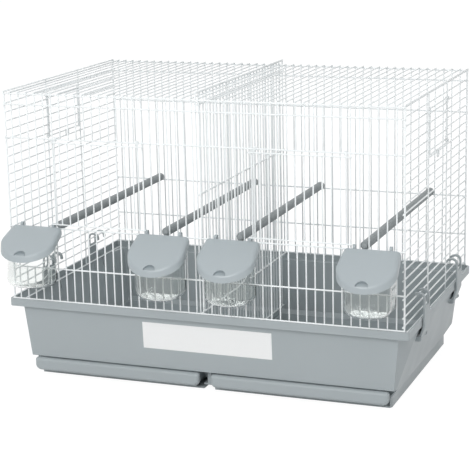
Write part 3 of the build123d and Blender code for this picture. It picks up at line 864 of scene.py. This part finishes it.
def add_prism(shape, outline, shift):
    """Adds a prism with the given outline, carried along a shift."""
    near = [shape.verts.new(point) for point in outline]
    far = [shape.verts.new(point + shift) for point in outline]
    faces = [shape.faces.new(near), shape.faces.new(far[::-1]), *skin(shape, (far, near), closed=True)]
    bmesh.ops.recalc_face_normals(shape, faces=faces)


def add_hooks(shape, hood, steps=12):
    """Adds the two hooks that go over the feeder wire."""
    bore = hood.hook_bore
    outer = bore + hood.hook_wall
    crown = hood.hook_rise
    angles = arc(math.pi, steps)
    over = [(-outer * math.cos(angle), crown + outer * math.sin(angle)) for angle in angles]
    under = [(bore * math.cos(angle), bore * math.sin(angle)) for angle in angles]
    hook = [*over, (outer, 0.0), *under, (-bore, -outer), (-outer, -outer)]
    root = -hood.rear - hood.wall
    foot = [(root, -outer), (-bore, -outer), (-bore, crown - outer), (root, crown - outer)]
    for sign in BOTH_WAYS:
        x = sign * hood.hook_reach - hood.hook_width / 2
        for outline in (hook, foot):
            add_prism(shape, [Vector((x, y, z)) for y, z in outline], Vector((hood.hook_width, 0, 0)))


def half_moon(hood, spare, top, steps=24):
    """A half-moon block on a hood's slope, from above or inside the top down to the dimple's floor."""
    shape = bmesh.new()
    run = hood.dimple_place
    fall = math.atan(-hood_slope(hood, run - hood.dimple_back))
    base = Vector((0, -hood.rear - run, hood_top(hood, run)))
    rise = Vector((0, math.cos(fall), math.sin(fall)))
    out = Vector((0, -math.sin(fall), math.cos(fall)))
    radius = hood.dimple_radius + 2 * spare
    upper = []
    lower = []
    for angle in arc(math.pi, steps):
        spot = base + Vector((radius * math.cos(angle), 0, 0)) + rise * (radius * math.sin(angle) - spare)
        deep = hood.dimple_shallow + (hood.dimple_deep - hood.dimple_shallow) * math.sin(angle)
        upper.append(shape.verts.new(spot + out * top))
        lower.append(shape.verts.new(spot - out * (deep + spare)))
    shape.faces.new(upper)
    for at in range(1, steps):
        shape.faces.new((lower[0], lower[at + 1], lower[at]))
    skin(shape, (lower, upper), closed=True)
    bmesh.ops.recalc_face_normals(shape, faces=shape.faces)
    return shape


def build_hood(name, hood, material):
    """One hood hung on a feeder wire at the origin."""
    thing = mesh_object(name, hood_sheet(hood), material)
    solid = thing.modifiers.new("Wall", "SOLIDIFY")
    solid.thickness = hood.wall
    solid.offset = -1.0
    solid.use_even_offset = True
    helpers = []
    steps = (("UNION", hood.dimple_wall, -hood.wall / 2), ("DIFFERENCE", 0.0, hood.dimple_cut))
    for operation, spare, top in steps:
        helper = mesh_object("dimple_" + operation.lower(), half_moon(hood, spare, top), material)
        helpers.append(helper)
        join = thing.modifiers.new("Dimple", "BOOLEAN")
        join.operation = operation
        join.solver = "EXACT"
        join.object = helper
    settle(thing)
    for helper in helpers:
        mesh = helper.data
        bpy.data.objects.remove(helper)
        bpy.data.meshes.remove(mesh)
    shape = bmesh.new()
    shape.from_mesh(thing.data)
    add_hooks(shape, hood)
    for face in shape.faces:
        face.smooth = True
    shape.to_mesh(thing.data)
    shape.free()
    thing.data.set_sharp_from_angle(angle=HOOD_CREASE)
    settle_evenly(thing)
    return thing


def cup_skin(shape, cup, inset, top, round_steps=8, straight_steps=4, oval_steps=36):
    """Columns of points up one face of a cup, drawn in by a wall, from one rear corner round to the other."""
    half = cup.half_width - inset
    right = bow_outline(half, half, cup.side - inset, cup.depth - 2 * inset, straight_steps, oval_steps)
    left = [(-across, run, Vector((-normal.x, normal.y))) for across, run, normal in reversed(right[:-1])]
    radius = cup.bottom_round - inset
    floor = inset - cup.floor_drop
    wall = [(radius * (math.sin(angle) - 1), floor + radius * (1 - math.cos(angle)))
            for angle in arc(RIGHT_ANGLE, round_steps)]
    wall.append((0.0, -cup.back_drop))
    columns = []
    for across, run, normal in right + left:
        edge = [(out, -cup.edge_drop - cup.edge_slope * (inset + run + normal.y * out) - drop)
                for out, drop in top]
        column = stand_up((across, run, normal), cup.rear + inset, wall + edge)
        columns.append([shape.verts.new(point) for point in column])
    return columns


def cup_shape(cup):
    """A clear cup with a flange under its slanting edge and a low back, on a feeder wire at the origin."""
    shape = bmesh.new()
    flange = ((0.0, cup.flange), (cup.flange_reach, cup.flange), (cup.flange_reach, 0.0))
    outer = cup_skin(shape, cup, 0.0, flange)
    inner = cup_skin(shape, cup, cup.wall, ((0.0, 0.0),))
    back = len(inner[0]) - 2
    for columns in (outer, inner):
        shape.faces.new([column[0] for column in columns])
        skin(shape, columns)
    skin(shape, [[column[-1] for column in columns] for columns in (outer, inner)])
    ends = []
    for wall, lining in ((outer[0], inner[0]), (outer[-1], inner[-1])):
        low = shape.verts.new((lining[back].co.x, -cup.rear, -cup.back_drop))
        high = shape.verts.new((lining[back].co.x, -cup.rear, -cup.edge_drop))
        shape.faces.new((low, high, lining[back + 1], lining[back]))
        shape.faces.new((high, wall[-1], lining[back + 1]))
        shape.faces.new(wall[back:] + [high, low])
        ends.append(low)
    shape.faces.new(outer[0][:back + 1] + ends + outer[-1][back::-1])
    shape.faces.new(inner[0][:back + 1] + inner[-1][back::-1])
    shape.faces.new((ends[0], inner[0][back], inner[-1][back], ends[1]))
    bmesh.ops.recalc_face_normals(shape, faces=shape.faces)
    return shape


class CAGE_OT_feeders(bpy.types.Operator):
    """Builds the feeder hoods and their clear cups"""
    bl_idname = "cage.feeders"
    bl_label = "Feeders"

    def execute(self, context):
        for feeder in FEEDERS:
            wire = joint(feeder + "_feeder_hook")["pos_m"]
            down = joint(feeder + "_cup_slide")["axis"]
            lean = math.atan2(-down[ALONG_Y], -down[ALONG_Z])
            hung = Matrix.Translation(wire) @ Matrix.Rotation(-lean, 4, "X")
            thing = build_hood(feeder + "_hood", context.scene.cage_hood, hood_material())
            thing.data.transform(hung)
            place_piece(thing, feeder + "_feeder", [feeder + "_feeder_hood"])
            thing = mesh_object(feeder + "_cup_clear", cup_shape(context.scene.cage_cup), cup_material())
            thing.data.set_sharp_from_angle(angle=CUP_CREASE)
            thing.data.transform(hung)
            place_piece(thing, feeder + "_cup", [feeder + "_feeder_cup"])
        return {"FINISHED"}


class CAGE_OT_perches(bpy.types.Operator):
    """Builds the fluted perches with their smooth ends"""
    bl_idname = "cage.perches"
    bl_label = "Perches"

    def execute(self, context):
        sizes = context.scene.cage_sizes
        flutes = sizes.perch_flutes
        for perch in FEEDERS:
            node = perch + "_perch"
            low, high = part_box(node)
            middle = (low + high) / 2
            radius = (high.z - low.z) / 2
            points = [((point - middle).xz.length, abs(point.y))
                      for solid in solids_of(node) for point in solid]
            shoulder = max(y for size, y in points if size > THICK_SHARE * radius)
            tip = max(size for size, y in points if y > high.y - TIP_LENGTH)
            grip = shoulder - sizes.perch_sleeve
            edge = sizes.sleeve_edge
            sleeve = ((grip, radius), (shoulder - edge, radius), (shoulder, radius - edge), (shoulder, tip),
                      (high.y - sizes.tip_edge, tip), (high.y, tip - sizes.tip_edge))
            ends = [[(Vector((middle.x, sign * y, middle.z)), size) for y, size in sleeve]
                    for sign in BOTH_WAYS]
            rod = [end[0] for end in ends]
            thing = sweep(node + "_rod", [rod], perch_material(), FLUTE_POINTS * flutes, flutes,
                          sizes.flute_depth)
            place_piece(thing, "cage", [node])
            thing = sweep(node + "_ends", ends, perch_material(), ROUND_SIDES)
            place_piece(thing, "cage")
        return {"FINISHED"}


def add_ribbon(shape, path, thickness, near, far):
    """Adds a flat strip that follows a path, from one edge of its width to the other."""
    rings = []
    for at, point in enumerate(path):
        along = (path[min(at + 1, len(path) - 1)] - path[max(at - 1, 0)]).normalized()
        side = along.cross(Vector((0, 1, 0))) * thickness / 2
        corners = ((side, near), (side, far), (-side, far), (-side, near))
        rings.append([shape.verts.new(point + step + Vector((0, edge, 0))) for step, edge in corners])
    skin(shape, rings, closed=True)
    shape.faces.new(rings[0])
    shape.faces.new(rings[-1])


def clip_shape(clip, pin, sign, arch_steps=24):
    """A clip with its pin, its lever round the tray's lip and two prongs that arch over a side wire."""
    shape = bmesh.new()
    upright = clip.lever_out
    lever = [(0, 0), (upright, clip.kink_rise), (upright, clip.shoulder)]
    middle = (upright - clip.hook_in) / 2
    half = (upright + clip.hook_in) / 2
    hook = [(upright, clip.shoulder - clip.thickness)]
    for angle in arc(math.pi, arch_steps):
        out = middle + half * math.copysign(abs(math.cos(angle)) ** clip.arch_power, math.cos(angle))
        hook.append((out, clip.arch_rise + clip.arch_height * math.sin(angle) ** clip.arch_power))
    hook.append((-clip.hook_in, clip.nose_rise))
    lever, hook = [[pin + Vector((sign * out, 0, rise)) for out, rise in path] for path in (lever, hook)]
    add_ribbon(shape, lever, clip.thickness, -clip.half_width, clip.half_width)
    outer = clip.half_width - clip.prong_step
    inner = clip.half_width - clip.prong_width
    for edge in BOTH_WAYS:
        add_ribbon(shape, hook, clip.prong_thickness, edge * outer, edge * inner)
    turn = Matrix.Translation(pin) @ Matrix.Rotation(RIGHT_ANGLE, 4, "X")
    for radius, reach in ((clip.barrel_radius, clip.barrel_half), (clip.pin_radius, clip.pin_half)):
        bmesh.ops.create_cone(shape, cap_ends=True, segments=ROUND_SIDES, radius1=radius, radius2=radius,
                              depth=2 * reach, matrix=turn)
    bmesh.ops.recalc_face_normals(shape, faces=shape.faces)
    return shape


class CAGE_OT_clips(bpy.types.Operator):
    """Builds the clips that hold the wire cage on the tray"""
    bl_idname = "cage.clips"
    bl_label = "Clips"

    def execute(self, context):
        for clip in CLIPS:
            node = clip + "_clip"
            pin = Vector(joint(node + "_hinge")["pos_m"])
            shape = clip_shape(context.scene.cage_clip, pin, math.copysign(1, pin.x))
            thing = moulded(node + "_moulding", shape, context.scene.cage_sizes.clip_round, tray_material())
            place_piece(thing, node, [node])
        return {"FINISHED"}


def add_light(name, place, width, height, power):
    """A soft light panel that faces the cage."""
    lamp = bpy.data.lights.new(name, "AREA")
    lamp.shape = "RECTANGLE"
    lamp.size = width
    lamp.size_y = height
    lamp.energy = power
    thing = new_object(name, lamp)
    thing.location = place
    thing.rotation_euler = (LIGHT_AIM - Vector(place)).to_track_quat("-Z", "Y").to_euler()
    return thing


def seen_plainly(tree):
    """One for rays that reach the white background from the eye, from a gloss or through clear plastic."""
    path = add_node(tree, "ShaderNodeLightPath").outputs
    seen = path["Is Camera Ray"]
    for ray in ("Is Glossy Ray", "Is Transmission Ray"):
        seen = add_node(tree, "ShaderNodeMath", {"operation": "MAXIMUM"}, {0: seen, 1: path[ray]}).outputs[0]
    return seen


def build_world(stage, white):
    """A white background that lights the cage less from the walls than from above."""
    world = bpy.data.worlds.new("White studio")
    world.use_nodes = True
    tree = world.node_tree
    direction = add_node(tree, "ShaderNodeTexCoord")
    parts = add_node(tree, "ShaderNodeSeparateXYZ", None, {"Vector": direction.outputs["Generated"]})
    ambient = add_node(tree, "ShaderNodeMapRange", None,
                       {"Value": parts.outputs["Z"], "To Min": stage.horizon, "To Max": stage.zenith})
    strength = add_node(tree, "ShaderNodeMapRange", None,
                        {"Value": seen_plainly(tree), "To Min": ambient.outputs[0], "To Max": 1.0})
    background = tree.nodes["Background"]
    background.inputs["Color"].default_value = white
    tree.links.new(strength.outputs[0], background.inputs["Strength"])
    return world


def floor_material(stage, colours):
    """White studio paper that runs into the background and keeps the cage's shadow."""
    material = bpy.data.materials.new("Studio floor")
    material.use_nodes = True
    tree = material.node_tree
    tree.nodes.remove(tree.nodes["Principled BSDF"])
    glow = add_node(tree, "ShaderNodeEmission", None, {"Color": colours.floor, "Strength": stage.floor_glow})
    shade = add_node(tree, "ShaderNodeBsdfDiffuse", None, {"Color": colours.floor_shade})
    bounce = add_node(tree, "ShaderNodeBsdfDiffuse", None, {"Color": colours.floor_bounce})
    seen = add_node(tree, "ShaderNodeAddShader", None, {0: glow.outputs[0], 1: shade.outputs[0]})
    chosen = add_node(tree, "ShaderNodeMixShader", None,
                      {0: seen_plainly(tree), 1: bounce.outputs[0], 2: seen.outputs[0]})
    tree.links.new(chosen.outputs[0], tree.nodes["Material Output"].inputs["Surface"])
    return material


class CAGE_OT_stage(bpy.types.Operator):
    """Sets up the white floor, the lights and the camera"""
    bl_idname = "cage.stage"
    bl_label = "Stage"

    def execute(self, context):
        scene = context.scene
        stage = scene.cage_stage
        scene.view_settings.view_transform = "Standard"
        scene.world = build_world(stage, scene.cage_colours.floor)
        mesh = bpy.data.meshes.new("floor")
        square = ((-1, -1), (1, -1), (1, 1), (-1, 1))
        corners = [(x * FLOOR_REACH, y * FLOOR_REACH, FLOOR_LEVEL) for x, y in square]
        mesh.from_pydata(corners, [], [range(len(corners))])
        mesh.materials.append(floor_material(stage, scene.cage_colours))
        floor = new_object("floor", mesh)
        key, fill, rear = [add_light(name + "_light", *panel, getattr(stage, name + "_power"))
                           for name, panel in LIGHTS.items()]
        lens = bpy.data.cameras.new("camera")
        lens.lens = stage.lens
        camera = new_object("camera", lens)
        turn = Matrix.Rotation(stage.azimuth, 4, "Z") @ Matrix.Rotation(RIGHT_ANGLE - stage.elevation, 4, "X")
        roll = Matrix.Rotation(stage.roll, 4, "Z")
        back = Matrix.Translation(UP * stage.distance)
        camera.matrix_world = Matrix.Translation(stage.target) @ turn @ roll @ back
        scene.camera = camera
        return {"FINISHED"}


class CAGE_PT_panel(bpy.types.Panel):
    """Sizes and colours of the cage, and a button for each of its pieces"""
    bl_idname = "CAGE_PT_panel"
    bl_label = "Bird cage"
    bl_space_type = "VIEW_3D"
    bl_region_type = "UI"
    bl_category = "Bird cage"

    def draw(self, context):
        for title, kind in GROUPS:
            box = self.layout.box()
            for name in kind.__annotations__:
                box.prop(getattr(context.scene, title), name)
        for operator in OPERATORS:
            self.layout.operator(operator.bl_idname)


GROUPS = (("cage_sizes", CageSizes), ("cage_hood", HoodSizes), ("cage_cup", CupSizes),
          ("cage_clip", ClipSizes), ("cage_colours", CageColours), ("cage_stage", StageSettings))
OPERATORS = (CAGE_OT_tray, CAGE_OT_drawers, CAGE_OT_label, CAGE_OT_panels, CAGE_OT_divider,
             CAGE_OT_front_doors, CAGE_OT_nest_doors, CAGE_OT_feeders, CAGE_OT_perches, CAGE_OT_clips,
             CAGE_OT_stage)


def register():
    """Registers the groups, the operators and the panel."""
    for name, group in GROUPS:
        bpy.utils.register_class(group)
        setattr(bpy.types.Scene, name, bpy.props.PointerProperty(type=group))
    for entry in OPERATORS:
        bpy.utils.register_class(entry)
    bpy.utils.register_class(CAGE_PT_panel)


def unregister():
    """Takes everything out again."""
    bpy.utils.unregister_class(CAGE_PT_panel)
    for entry in reversed(OPERATORS):
        bpy.utils.unregister_class(entry)
    for name, group in reversed(GROUPS):
        delattr(bpy.types.Scene, name)
        bpy.utils.unregister_class(group)


def main():
    """Builds every piece and the stage."""
    register()
    bpy.ops.cage.tray()
    bpy.ops.cage.drawers()
    bpy.ops.cage.label()
    bpy.ops.cage.panels()
    bpy.ops.cage.divider()
    bpy.ops.cage.front_doors()
    bpy.ops.cage.nest_doors()
    bpy.ops.cage.feeders()
    bpy.ops.cage.perches()
    bpy.ops.cage.clips()
    bpy.ops.cage.stage()


if __name__ == "__main__":
    main()
